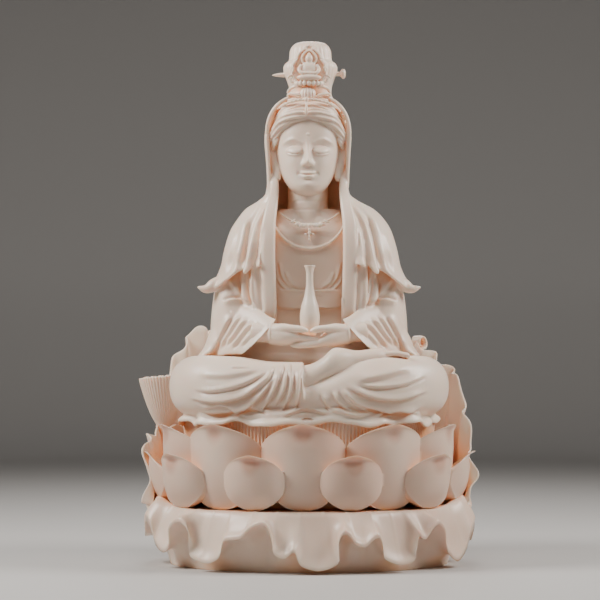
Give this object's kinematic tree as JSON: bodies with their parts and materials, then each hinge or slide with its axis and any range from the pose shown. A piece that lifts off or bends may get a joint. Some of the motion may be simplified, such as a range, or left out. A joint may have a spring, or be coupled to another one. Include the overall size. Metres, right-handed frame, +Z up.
{
  "type": "guanyin figure",
  "caption": "Seated guanyin in ivory-white porcelain, veiled and cross-legged on a lotus flower, holding a small vase, on a ruffled lotus-leaf base with a leaf and seed pod behind.",
  "frame": {"origin": "centre of the flat foot, on the surface that the figure stands on", "axes": "+Z up; the figure faces -Y; +X is towards the viewer's right when the figure is seen from the front"},
  "size_m": [0.285, 0.2051, 0.4203],
  "materials": {
    "figure_porcelain": "ivory-white porcelain with a thin satin glaze, warm where light passes through thin edges and hollows",
    "vase_porcelain": "the same ivory-white porcelain, thrown thin and smooth",
    "lotus_porcelain": "the same porcelain, a little pinker on the petals and browner at their tips",
    "leaf_porcelain": "the same porcelain with fine leaf veins"
  },
  "bodies": {
    "root": {"guanyin_figure": "figure_porcelain", "willow_vase": "vase_porcelain", "lotus_seat": "lotus_porcelain", "leaf_base": "leaf_porcelain"}
  },
  "joints": []
}
